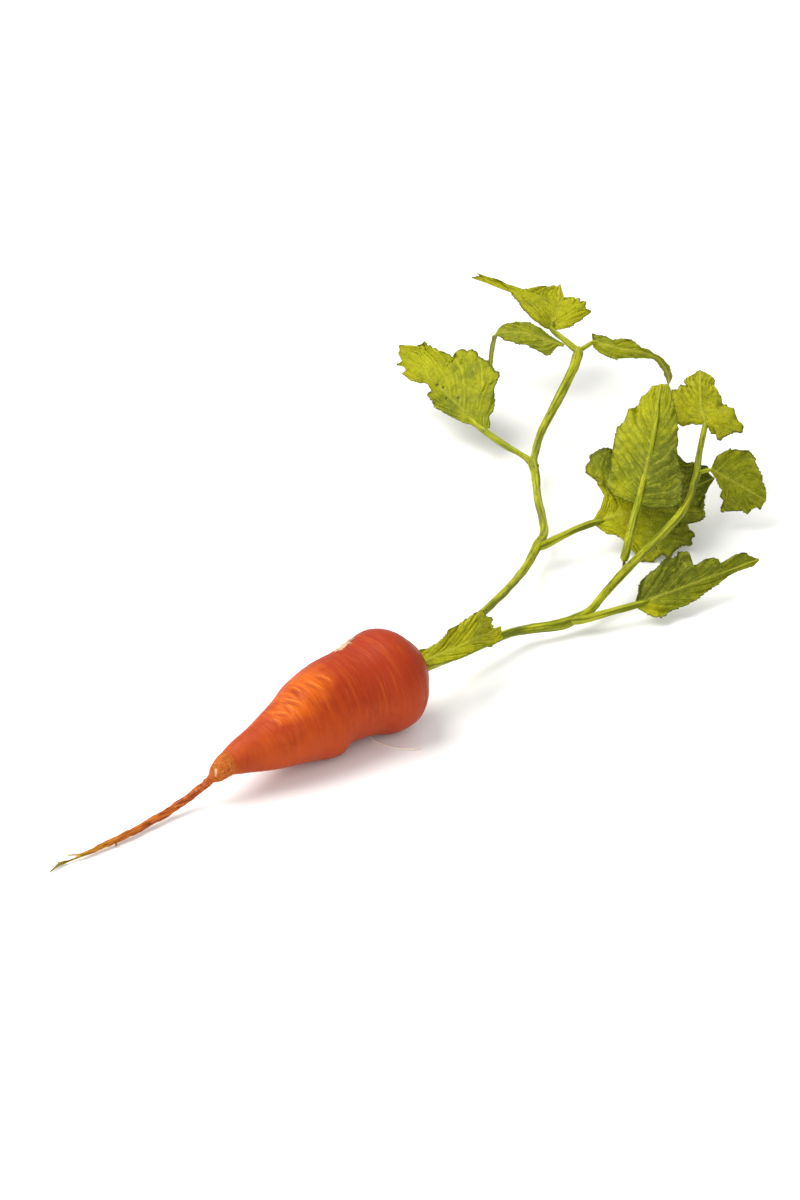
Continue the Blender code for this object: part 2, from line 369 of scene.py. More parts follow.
TAIL_ROUTE = [(-93.2, 2.3, 14.2, 4.3), (-95.2, 2.5, 13.2, 3.3), (-96.4, 2.9, 11.9, 2.1),
              (-98.6, 3.8, 9.6, 1.75), (-105.0, 5.4, 6.2, 1.65), (-118.0, 5.7, 3.2, 1.6),
              (-137.0, 4.9, 2.4, 1.45), (-150.0, 5.3, 2.1, 1.25), (-157.0, 5.7, 1.9, 1.0),
              (-162.0, 6.1, 1.7, 0.75), (-164.0, 6.4, 1.4, 0.4)]
ROUTE = np.vstack([CROWN_ROUTE, smooth(BODY_ROUTE, 5), smooth(TAIL_ROUTE, 5)]) * MM
RING_SIDES = 48
print("root:", len(ROUTE), "rings of", RING_SIDES, "sides")

# %% Root: draw it out ring by ring
select_nothing()
first = ROUTE[0]
bpy.ops.mesh.primitive_circle_add(vertices=RING_SIDES, radius=first[3], fill_type="NGON",
                                  location=first[:3], rotation=(0, math.pi / 2, 0))
root = bpy.context.object
bpy.ops.object.transform_apply(location=True, rotation=True, scale=True)
bpy.ops.object.mode_set(mode="EDIT")
bpy.ops.mesh.select_all(action="SELECT")
bpy.ops.mesh.inset(thickness=first[3] * 0.5)
bpy.ops.mesh.inset(thickness=first[3] * 0.35)
bpy.ops.mesh.select_all(action="DESELECT")
bpy.ops.object.mode_set(mode="OBJECT")
rim = [v.index for v in root.data.vertices
       if math.hypot(v.co.y - first[1], v.co.z - first[2]) > first[3] * 0.98]
for index in rim:
    root.data.vertices[index].select = True
bpy.ops.object.mode_set(mode="EDIT")
bpy.ops.mesh.select_mode(type="VERT")
bpy.ops.mesh.select_mode(type="EDGE")
for before, here in zip(ROUTE, ROUTE[1:]):
    growth = here[3] / before[3]
    bpy.ops.mesh.extrude_edges_move(TRANSFORM_OT_translate={"value": here[:3] - before[:3]})
    bpy.ops.transform.resize(value=(1, growth, growth), center_override=here[:3])
bpy.ops.mesh.edge_face_add()
bpy.ops.mesh.select_all(action="SELECT")
bpy.ops.mesh.normals_make_consistent(inside=False)
bpy.ops.object.mode_set(mode="OBJECT")
print("root: points", len(root.data.vertices))

# %% Root: round it off
rounding = root.modifiers.new("rounding", "SUBSURF")
rounding.levels = 2
rounding.render_levels = 2
bpy.ops.object.modifier_apply(modifier="rounding")
print("root: faces after rounding", len(root.data.polygons))

# %% [markdown]
# ## The root: its skin
# Growth leaves rings of fine wrinkles round a carrot, some of them deep creases that run only
# part of the way, small pits where side roots came out, and a dry scar where one broke off.
# The knob above the tail is the most wrinkled. These are too many to place by hand and too
# plain to sculpt, so each point of the mesh is moved along its own outward direction by the sum
# of a few simple shapes.

# %% Root: measure each point's place on the body
BODY_END = -0.096
HOLLOW_RADIUS = 0.003
FADE = 0.004

places = read_places(root.data)
along = places[:, 0]
axis = ROUTE[len(CROWN_ROUTE):]
axis = axis[np.argsort(axis[:, 0])]
out_y = places[:, 1] - np.interp(along, axis[:, 0], axis[:, 1])
out_z = places[:, 2] - np.interp(along, axis[:, 0], axis[:, 2])
radius = np.hypot(out_y, out_z)
turn = np.arctan2(out_z, out_y)
on_body = np.clip((along - BODY_END) / FADE, 0, 1)
on_body = on_body * np.clip((radius - HOLLOW_RADIUS) / 0.006, 0, 1)
print("root: widest", round(float(radius.max()) * 2 / MM, 1), "mm")


# %% Root: shapes that the relief is made of
def bell(value, width):
    return np.exp(-(value / width) ** 2)


CREST_SHARE = 0.45


def crease(at, middle, half_arc, width, depth, slant=0.0):
    """A groove round part of the root, deepest in its middle, with a crest beside it."""
    bend = 0.0012 * np.sin(3 * turn + at * 900)
    arc = np.clip(1 - (np.angle(np.exp(1j * (turn - middle))) / half_arc) ** 2, 0, 1)
    gap = along - at - bend - slant * (turn - middle)
    crest = CREST_SHARE * bell(gap - width * 1.7, width * 1.1)
    return -depth * arc * (bell(gap, width) - crest)


# %% Root: a lump underneath, rings and a wrinkled knob
LUMP_AT = -37.5 * MM
LUMP_HEIGHT = 3.2 * MM
LUMP_TOWARDS = math.radians(232)
KNOB_AT = -0.0915
GROOVE_AT = -0.0872

lump_width = np.where(along > LUMP_AT, 3.9, 10.5) * MM
lump = LUMP_HEIGHT * bell(along - LUMP_AT, lump_width)
lump *= np.clip(np.cos(turn - LUMP_TOWARDS), 0, 1) ** 2

ring_noise = wobble(places, (1.5 * MM, 30 * MM, 30 * MM), 1)
fine_rings = wobble(places, (0.7 * MM, 13 * MM, 13 * MM), 2)
broad = wobble(places, (15 * MM, 12 * MM, 12 * MM), 3)
knob = bell(along - KNOB_AT, 3.6 * MM)
relief = (broad * 0.4 + ring_noise * 0.11 + fine_rings * 0.06) * MM
relief += knob * wobble(places, (1.1 * MM, 1.3 * MM, 1.3 * MM), 4) * 0.6 * MM
relief -= bell(along - GROOVE_AT + 0.0006 * np.sin(2 * turn), 0.7 * MM) * 0.4 * MM
print("root: lump", LUMP_HEIGHT / MM, "mm high")

# %% Root: shallow creases all over it
SHALLOW_CREASES = 30
rng = np.random.default_rng(7)
for at in np.linspace(-0.086, 0.006, SHALLOW_CREASES):
    relief += crease(at + rng.uniform(-1, 1) * MM, rng.uniform(-math.pi, math.pi),
                     rng.uniform(0.4, 1.3), rng.uniform(0.3, 0.5) * MM,
                     rng.uniform(0.08, 0.26) * MM)
print("root: shallow creases", SHALLOW_CREASES)

# %% Root: deep creases on its upper side
# (mm along the axis, degrees round it, half of its arc in degrees, slant in mm)
DEEP_CREASES = [(-39.6, 104, 17, 4.5), (-42.9, 103, 22, 4.9), (-51.3, 86, 18, 1.5),
                (-54.9, 94, 32, 1.4), (-58.3, 100, 16, 2.5), (-61.7, 98, 22, 3.3),
                (-67.0, 106, 20, 2.5)]
deep = np.zeros(len(places))
for at, middle, half_arc, slant in DEEP_CREASES:
    deep += crease(at * MM, math.radians(middle), math.radians(half_arc), 0.6 * MM, 0.65 * MM,
                   slant * MM)
relief += deep
print("root: deep creases", len(DEEP_CREASES), "deepest", round(-deep.min() / MM, 2), "mm")

# %% Root: scar, twisted tail and the sum of all
SCAR = Vector((-15.8, 11.9, 38.9)) * MM
TAIL_FROM = -0.0975
TAIL_TO = -0.166

from_scar = (places - np.array(SCAR)) / (np.array([6.0, 6.0, 5.0]) * MM)
scar = bell(np.linalg.norm(from_scar, axis=1), 1.0)
relief += scar * (0.35 + 0.9 * wobble(places, (1.5 * MM,) * 3, 5)) * MM * 0.8

on_tail = np.clip((TAIL_FROM - along) / FADE, 0, 1) * np.clip((along - TAIL_TO) / 0.01, 0, 1)
twist = np.cos(3 * turn + along * 520) * 0.1 + np.cos(5 * turn - along * 310) * 0.05
tail_lumps = wobble(places, (3.2 * MM, 1.6 * MM, 1.6 * MM), 6) * 0.34

spread = np.maximum(radius, 1e-6)
outward = relief * on_body + lump + on_tail * (twist + tail_lumps) * MM
places[:, 1] += out_y / spread * outward
places[:, 2] += out_z / spread * outward
places[:, 2] = np.maximum(places[:, 2], 0)
write_places(root.data, places)
# The deep creases are kept on the mesh so that the finish can paint a highlight on their crests and
# shade in their grooves.
store(root.data, "creases", deep / MM)
print("root: relief from", round(float(relief.min()) / MM, 2), "to",
      round(float(relief.max()) / MM, 2), "mm")

# %% [markdown]
# ## The root: its colour
# Carrot skin is nearly one hue, but no two places on it are alike: redder on the shoulder that the sun
# reached, clear orange down the body and cream where the skin broke. Light is painted on it too: a
# painted pool of brighter orange on the lit upper side, a painted highlight along the crests of the
# rings and creases with painted shade in their grooves, and ring marks painted strongest where the lamp
# falls. The tail fades through yellow to olive. All of this follows the place on the root, so it is
# built on object coordinates, stretched so that the noise lies in rings.

# %% Root: finish, its main colours and a painted pool of light
skin = Finish("carrot_skin", Specular_IOR_Level=0.14, Subsurface_Weight=0.05,
              Subsurface_Scale=0.004)
where = skin.place()
x, _, z = skin.parts(where)
rings = skin.grain(where, (560, 40, 40), detail=4)
hairlines = skin.grain(where, (1900, 80, 80), detail=3)
blotches = skin.grain(where, (70, 90, 90), detail=4)
flecks = skin.grain(where, (520, 150, 150), detail=1)

colour = skin.ramp((x + 0.098) * 8.6, [
    (0.0, (0.42, 0.09, 0.01)), (0.08, (0.42, 0.06, 0.006)), (0.35, (0.45, 0.058, 0.005)),
    (0.6, (0.41, 0.046, 0.005)), (0.85, (0.38, 0.044, 0.007)), (1.0, (0.35, 0.044, 0.008))])
# A painted pool of light: a brighter orange patch on the upper side of the body, where the lamp falls
# most.
PAINTED_LIGHT_AT = (-0.05, 0.004, 0.033)
patch_distance = skin.far_from(PAINTED_LIGHT_AT, where, (46, 62, 75))
painted_light_patch = 1 - skin.step(patch_distance + (blotches - 0.5) * 0.8, 0.45, 1.05)
sun_side = skin.step(z + (blotches - 0.5) * 0.012, 0.02, 0.036)
colour = skin.mix(sun_side * 0.85, colour, (0.31, 0.025, 0.003))
colour = skin.mix(painted_light_patch * 0.92, colour, (0.56, 0.1, 0.002))
print("skin: main colours, nodes", len(skin.tree.nodes))

# %% Root: finish, its fine marks, painted highlights and painted shade
# Weight for the ring and hairline marks: they are painted strongest on the upper side, which the lamp
# lights, and fade on the shaded front.
upper = skin.step(z + (blotches - 0.5) * 0.01, 0.012, 0.03) * 0.65 + 0.35
creases = skin.attribute_value("creases")
SKIN_MARKS = [
    ((blotches, 0.48, 0.7, 0.45), (0.3, 0.027, 0.004)),
    # Light and dark ring and hairline marks: partly the skin's own rings, partly a painted highlight on
    # their crests and painted shade in their grooves, stronger still in the painted pool of light.
    ((rings, 0.52, 0.66, upper * (0.11 + painted_light_patch * 0.3)), (0.66, 0.16, 0.012)),
    ((1 - rings, 0.54, 0.7, upper * 0.28), (0.24, 0.022, 0.004)),
    ((hairlines, 0.56, 0.74, upper * 0.28), (0.6, 0.15, 0.022)),
    ((1 - hairlines, 0.56, 0.74, upper * 0.36), (0.2, 0.02, 0.004)),
    # Painted highlight on the crests beside the deep creases, and painted shade in their grooves.
    ((creases, 0.06, 0.26, 0.55), (0.8, 0.26, 0.03)),
    ((0.0 - creases, 0.15, 0.6, 0.55), (0.24, 0.02, 0.002)),
    ((flecks, 0.71, 0.77, 0.35), (0.2, 0.035, 0.008)),
]
for marks, tint in SKIN_MARKS:
    colour = skin.stain(colour, marks, tint)
print("skin: kinds of marks", len(SKIN_MARKS))

# %% Root: finish, the tail and the knob
fibres = skin.grain(where, (130, 1600, 1600), detail=3)
tail_colour = skin.ramp((x + 0.172) * 13.0, [
    (0.0, (0.18, 0.2, 0.02)), (0.09, (0.36, 0.26, 0.008)), (0.2, (0.44, 0.18, 0.006)),
    (0.45, (0.42, 0.1, 0.006)), (1.0, (0.36, 0.06, 0.012))])
tail_colour = skin.stain(tail_colour, (fibres, 0.52, 0.64, 0.6), (0.6, 0.22, 0.03))
tail_colour = skin.stain(tail_colour, (1 - fibres, 0.52, 0.6, 0.72), (0.1, 0.02, 0.005))
tail_mask = 1 - skin.step(x, -0.0985, -0.096)
colour = skin.mix(tail_mask, colour, tail_colour)

knob_mask = skin.step(x, -0.0975, -0.095) * (1 - skin.step(x, -0.0895, -0.0865))
crumpled = skin.grain(where, (620, 520, 520), detail=3, roughness=0.6)
squiggles = 1 - skin.step(abs(crumpled - 0.5), 0.015, 0.06)
colour = skin.mix(knob_mask * 0.8, colour, (0.47, 0.115, 0.005))
colour = skin.stain(colour, (1 - crumpled, 0.54, 0.62, knob_mask * 0.6), (0.22, 0.045, 0.005))
colour = skin.mix(knob_mask * squiggles * 0.55, colour, (0.76, 0.23, 0.055))

FLECK_AT = (-0.0956, 0.0014, 0.0154)
fleck_distance = skin.far_from(FLECK_AT, where)
fleck_mask = 1 - skin.step(fleck_distance + (crumpled - 0.5) * 0.006, 0.0006, 0.0011)
colour = skin.mix(fleck_mask * 0.8, colour, (0.7, 0.52, 0.32))
print("skin: tail and knob, nodes", len(skin.tree.nodes))

# %% Root: finish, the scar and the crown
scar_distance = skin.far_from(tuple(SCAR), where, (125, 200, 240))
ragged = skin.grain(where, (600, 600, 500), detail=3)
scar_mask = 1 - skin.step(scar_distance + (ragged - 0.5) * 1.1, 0.55, 0.8)
scar_colour = skin.mix(skin.step(ragged, 0.58, 0.64), (0.56, 0.4, 0.25), (0.1, 0.05, 0.02))
colour = skin.mix(scar_mask, colour, scar_colour)
CRACK_AT = (-0.013, 0.01, 0.0404)
crack_distance = skin.far_from(CRACK_AT, where)
crack_mask = 1 - skin.step(crack_distance + (ragged - 0.5) * 0.006, 0.0008, 0.0014)
colour = skin.mix(crack_mask * 0.8, colour, (0.07, 0.022, 0.008))

CROWN_AXIS = (0, 0.002, 0.0221)
crown_distance = skin.far_from(CROWN_AXIS, where, (0, 1, 1))
crown_mask = skin.step(x, 0.0095, 0.0115) * (1 - skin.step(crown_distance, 0.0075, 0.0115))
colour = skin.mix(crown_mask * 0.85, colour, (0.13, 0.12, 0.02))

# %% Root: finish, its gloss and relief
SKIN_DEPTH = 0.00035
gloss = 0.46 + (rings - 0.5) * 0.25 + scar_mask * 0.35 + knob_mask * 0.15
skin_height = rings * 0.8 + hairlines * 0.4 + blotches * 0.4 + tail_mask * fibres * 1.6
skin_height = skin_height + knob_mask * squiggles + scar_mask * ragged * 2
skin_material = skin.finish(colour, gloss, skin_height, SKIN_DEPTH)
settle(root, "root_skin", ["root"], skin_material)

# %% [markdown]
# ## Tubes that follow a route: stalks, twigs and rootlets
# A leaf stalk is a long bent rod with ribs along it, thicker where it forks. A curve with a
# bevel is Blender's own way to make such a rod: each point of the curve has its own radius.
# The curve then becomes a mesh, so that ribs and bumps can be moved out of it, and each point
# stores where it would be on the straightened rod. A pattern that reads that place runs along
# the stalk whatever way the stalk bends.


# %% Helper: a tube along a route
def make_tube(route, steps, sides, ribs=0.0, bumps=0.0, seed=0):
    """A closed tube along (x, y, z, radius) points in mm, with its straightened places."""
    curve = smooth(route, steps) * MM
    select_nothing()
    bpy.ops.curve.primitive_nurbs_path_add(location=(0, 0, 0))
    tube = bpy.context.object
    tube.data.splines.clear()
    spline = tube.data.splines.new("POLY")
    spline.points.add(len(curve) - 1)
    spline.points.foreach_set("co", np.column_stack([curve[:, :3], np.ones(len(curve))]).ravel())
    spline.points.foreach_set("radius", curve[:, 3])
    tube.data.dimensions = "3D"
    tube.data.bevel_depth = 1.0
    tube.data.bevel_resolution = sides // 2 - 2
    tube.data.use_fill_caps = True
    bpy.ops.object.convert(target="MESH")
    tube = bpy.context.object
    bpy.ops.object.mode_set(mode="EDIT")
    bpy.ops.mesh.select_all(action="SELECT")
    bpy.ops.mesh.remove_doubles(threshold=0.000001)
    bpy.ops.mesh.normals_make_consistent(inside=False)
    bpy.ops.object.mode_set(mode="OBJECT")
    shape_tube(tube.data, curve, ribs, bumps, seed)
    return tube


def shape_tube(mesh, curve, ribs, bumps, seed):
    places = read_places(mesh)
    nearest = np.argmin(np.linalg.norm(places[:, None] - curve[None, :, :3], axis=2), axis=1)
    centre = curve[nearest, :3]
    direction = np.gradient(curve[:, :3], axis=0)[nearest]
    direction /= np.linalg.norm(direction, axis=1)[:, None]
    away = places - centre
    away -= direction * np.sum(away * direction, axis=1)[:, None]
    reach = np.linalg.norm(away, axis=1)
    side = np.cross(direction, (0.0, 0.0, 1.0))
    side /= np.linalg.norm(side, axis=1)[:, None]
    upward = np.cross(side, direction)
    angle = np.arctan2(np.sum(away * upward, axis=1), np.sum(away * side, axis=1))
    distance = lengths_along(curve)[nearest]
    straight = np.column_stack([reach * np.cos(angle), reach * np.sin(angle), distance])
    swell = ribs * np.cos(6 * angle + 0.6 * np.sin(distance * 60))
    swell += bumps * wobble(straight, (3 * MM, 3 * MM, 9 * MM), seed)
    swell += bumps * 0.5 * wobble(straight, (1.5 * MM, 1.5 * MM, 3.5 * MM), seed + 20)
    write_places(mesh, places + away * swell[:, None])
    store(mesh, "straightened", straight)


# %% Stalk finish
GREEN_DEPTH = 0.0005


def stalk_finish():
    green = Finish("stalk_green", Specular_IOR_Level=0.15)
    straight = green.attribute("straightened")
    fibres = green.grain(straight, (950, 950, 45), detail=4, roughness=0.6)
    patches = green.grain(straight, (220, 220, 70), detail=3)
    pits = green.grain(straight, (800, 800, 300), detail=2)
    tint = green.mix(green.step(patches, 0.36, 0.64), (0.19, 0.225, 0.003),
                     (0.34, 0.35, 0.004))
    tint = green.stain(tint, (fibres, 0.51, 0.64, 0.5), (0.52, 0.515, 0.05))
    tint = green.stain(tint, (1 - fibres, 0.51, 0.6, 0.75), (0.085, 0.105, 0.002))
    tint = green.stain(tint, (pits, 0.6, 0.68, 0.6), (0.12, 0.08, 0.006))
    sheen = 0.5 + (patches - 0.5) * 0.3
    return green.finish(tint, sheen, fibres + pits * 0.8 + patches * 0.6, GREEN_DEPTH)


stalk_material = stalk_finish()
print(stalk_material.name, "nodes", len(stalk_material.node_tree.nodes))

# %% [markdown]
# ## Two stalks and their twigs
# Both stalks leave the crown side by side and lie along the surface, and each carries side
# twigs that end in a leaflet. A twig starts inside its stalk, so that the fork looks grown and
# not glued, and runs on as the leaflet's midrib, thinning to nothing near its tip, because on
# the living plant twig and midrib are one bundle of fibres.

# %% Stalks and twigs: routes close to the solids' own, as (x, y, z, radius) in mm
STEM_ROUTES = {
    "stalk_tall": [
        (10.4, 4.0, 23.6, 2.5), (20, 4.5, 23.4, 2.3), (31, 5, 22, 2.0), (70, 20, 17, 1.75),
        (103, 35, 13, 1.8), (122, 45, 11.6, 1.95), (133, 52, 11, 2.2), (139, 56, 11, 2.2),
        (151, 64, 11, 1.9), (169.5, 87.5, 12, 1.8), (182, 102, 13.4, 2.0), (188, 110, 14, 2.3),
        (195, 116, 15, 1.8), (210.5, 127.5, 17, 1.9), (233, 139.5, 22, 2.3), (253, 150, 28, 2.4),
        (262, 156, 30.6, 2.35), (265, 159, 31.2, 1.7)],
    "stalk_low": [
        (10.4, -1.0, 20.5, 2.5), (27, 2, 18, 2.2), (44, 5, 14, 1.9), (74, 9, 10, 1.9),
        (87, 9, 7.5, 2.1), (102, 4, 6.3, 2.35), (110, 2.6, 6.5, 2.25), (119, 2, 7.4, 1.95),
        (133, 6, 9.8, 1.9), (148, 10, 12.5, 2.2), (164, 13, 16, 1.75), (179, 15, 20, 1.8),
        (190, 17, 23, 1.9), (202, 22, 26, 1.75), (211, 28, 28, 1.65), (217, 32, 29.5, 1.75),
        (228, 41, 33, 1.4), (244.5, 53.5, 36.6, 1.35), (248, 57, 37.4, 0.8), (252, 62, 38.4, 0.3)],
    "twig_broad": [
        (137, 54.5, 11, 1.5), (141, 53.6, 11.2, 1.9), (150, 52, 13, 1.7), (160, 51, 14, 1.6),
        (169, 50, 14, 1.55), (176, 46.6, 14.8, 0.9), (183, 43, 16, 0.3)],
    "twig_left": [
        (187.6, 107, 13.9, 1.4), (188.4, 112, 14.3, 1.7), (189, 118, 15, 1.35), (189, 132, 16, 1.5),
        (190.8, 149, 17, 1.5), (192.6, 157, 17.8, 0.9), (194, 165, 19, 0.3)],
    "twig_top": [
        (263, 156, 30.8, 1.7), (265, 167, 32, 1.55), (266.5, 179, 33.8, 1.35), (270, 182, 34.2, 0.8),
        (274, 185, 35.2, 0.3)],
    "twig_drooping": [
        (262.5, 157, 31, 1.2), (270, 158.5, 31, 1.2), (276, 159, 31, 1.05), (279, 153, 30, 0.6),
        (282, 147, 29.4, 0.3)],
    "branch_low": [
        (107, 2.8, 6.8, 1.5), (110.5, 0.4, 7, 1.9), (114, -2, 7.4, 1.8), (123, -5, 8, 1.7),
        (136.5, -9.7, 9, 1.6), (142, -11.5, 9.6, 1.0), (150, -14, 10.2, 0.3)],
    "twig_upright": [
        (152.6, 14.2, 15.0, 0.6), (153.6, 15.0, 15.4, 1.5), (155.2, 16.1, 16.0, 2.0),
        (165, 23, 20, 1.95), (179, 32.3, 26.4, 1.9), (186, 36.6, 32, 1.5), (199, 44.6, 41.6, 1.05),
        (216, 57.4, 49.4, 0.7), (230, 69.6, 54, 0.3)],
    "twig_side": [
        (215.5, 32, 29.4, 0.9), (220, 31, 30, 1.0), (224, 29.2, 30, 0.85), (227, 26.6, 27.6, 0.5),
        (230, 24, 25, 0.25)],
}

# %% Stalks and twigs: make them
STEM_STEPS = 10
STEM_SIDES = 20
for number, (name, route) in enumerate(STEM_ROUTES.items()):
    stem = make_tube(route, STEM_STEPS, STEM_SIDES, ribs=0.035, bumps=0.13, seed=number)
    settle(stem, name + "_rod", [name], stalk_material)

# %% [markdown]
# ## Rootlets
# The tail ends in a fork of thread-thin roots, and two short ones have stayed on its side. They
# are the same tissue as the root, so they are tubes joined into one piece with its finish. One
# long rootlet under the root grew in the dark and dried out pale, so it has its own.


# %% Helper: join tubes into one piece
def join_tubes(tubes):
    select_nothing()
    for tube in tubes:
        tube.select_set(True)
    bpy.context.view_layer.objects.active = tubes[0]
    bpy.ops.object.join()
    return tubes[0]


# %% Rootlets on the tail
ROOTLET_ROUTES = [
    [(-160, 5.9, 1.8, 0.75), (-164, 6.5, 1.3, 0.42), (-167.3, 7.0, 1.1, 0.4),
     (-169.4, 7.4, 1.2, 0.75), (-172, 7.4, 1.2, 0.7), (-175, 6.8, 0.9, 0.4),
     (-177.4, 6.3, 0.7, 0.22)],
    [(-160.5, 5.8, 2.0, 0.5), (-163, 7.0, 2.2, 0.4), (-166.5, 8.8, 2.6, 0.28)],
    [(-170, 7.6, 1.1, 0.2), (-172.9, 10.6, 1.4, 0.14), (-175.3, 12.9, 1.3, 0.12),
     (-178.2, 15.1, 1.0, 0.1), (-180.4, 16.9, 0.6, 0.08)],
    [(-145, 4.4, 2.0, 0.6), (-146.0, 3.5, 1.3, 0.45), (-146.6, 3.1, 1.0, 0.3)],
    [(-96.0, 4.2, 11.0, 0.6), (-96.8, 5.6, 10.4, 0.45), (-97.8, 6.6, 9.6, 0.25)],
]
rootlets = join_tubes([make_tube(route, 6, 10, bumps=0.2, seed=40 + number)
                       for number, route in enumerate(ROOTLET_ROUTES)])
settle(rootlets, "rootlets", ["root"], skin_material)


# %% The pale rootlet on the floor
def dry_finish(name, pale, brown):
    dry = Finish(name, Specular_IOR_Level=0.15)
    straight = dry.attribute("straightened")
    strands = dry.grain(straight, (2200, 2200, 160), detail=3)
    stains = dry.grain(straight, (500, 500, 320), detail=2)
    tint = dry.mix(dry.step(strands, 0.42, 0.6), brown, pale)
    tint = dry.stain(tint, (stains, 0.55, 0.7, 0.5), brown)
    return dry.finish(tint, 0.62 + (stains - 0.5) * 0.3, strands + stains, 0.0003)


PALE_ROUTE = [(-14, -1.0, 1.4, 0.5), (-15.6, -5.5, 0.7, 0.48), (-15.0, -12.3, 0.6, 0.45),
              (-12.8, -17.4, 0.6, 0.42), (-9.6, -21.4, 0.5, 0.38), (-5.6, -24.5, 0.5, 0.26)]
pale_rootlet = make_tube(PALE_ROUTE, 6, 10, bumps=0.2, seed=47)
settle(pale_rootlet, "pale_rootlet", ["root"],
       dry_finish("pale_rootlet", (0.9, 0.84, 0.78), (0.82, 0.66, 0.56)))

# %% [markdown]
# ## Dry remains
# Round the stalks, inside the rim of the crown, stand the dry feet of stalks that have fallen
# off. The foot of the upright twig has withered too: only two dark strands still hold it to its
# stalk. Both are bundles of short tubes with a dry finish.

# %% Crown stubs
CROWN = Vector((10.6, 2.0, 22.1))
STUBS = 11
stubs = []
for number in range(STUBS):
    angle = number * 2 * math.pi / STUBS + rng.uniform(-0.2, 0.2)
    reach = rng.uniform(5.2, 6.8)
    tall = rng.uniform(2.2, 5.0)
    lean = rng.uniform(0.1, 0.5)
    foot = CROWN + Vector((0, math.cos(angle), math.sin(angle))) * reach
    outer = Vector((0.4, math.cos(angle) * lean, math.sin(angle) * lean))
    route = [(*foot, 1.0), (*(foot + outer * tall), 0.8),
             (*(foot + outer * tall * 1.7 + Vector((rng.uniform(0, 1), 0, 0))), 0.35)]
    stubs.append(make_tube(route, 6, 12, ribs=0.15, bumps=0.3, seed=60 + number))
crown_stubs = join_tubes(stubs)
settle(crown_stubs, "crown_stubs", ["root"],
       dry_finish("dry_crown", (0.36, 0.28, 0.1), (0.12, 0.1, 0.02)))

# %% Withered foot of the upright twig
NECK_ROUTES = [
    [(144.5, 7.4, 11.4, 0.5), (147.5, 10.6, 12.6, 0.42), (150.5, 11.9, 14.0, 0.45),
     (153.5, 14.6, 15.4, 0.5), (157.5, 17.6, 17.0, 0.4)],
    [(145.5, 8.6, 11.0, 0.5), (148.3, 9.7, 13.0, 0.4), (151.0, 12.9, 13.9, 0.4),
     (153.8, 14.8, 15.8, 0.5), (157.0, 17.2, 17.0, 0.4)],
]
twig_foot = join_tubes([make_tube(route, 8, 12, bumps=0.35, seed=80 + number)
                        for number, route in enumerate(NECK_ROUTES)])
settle(twig_foot, "withered_twig_foot", ["twig_upright"],
       dry_finish("withered_foot", (0.16, 0.13, 0.02), (0.045, 0.03, 0.008)))
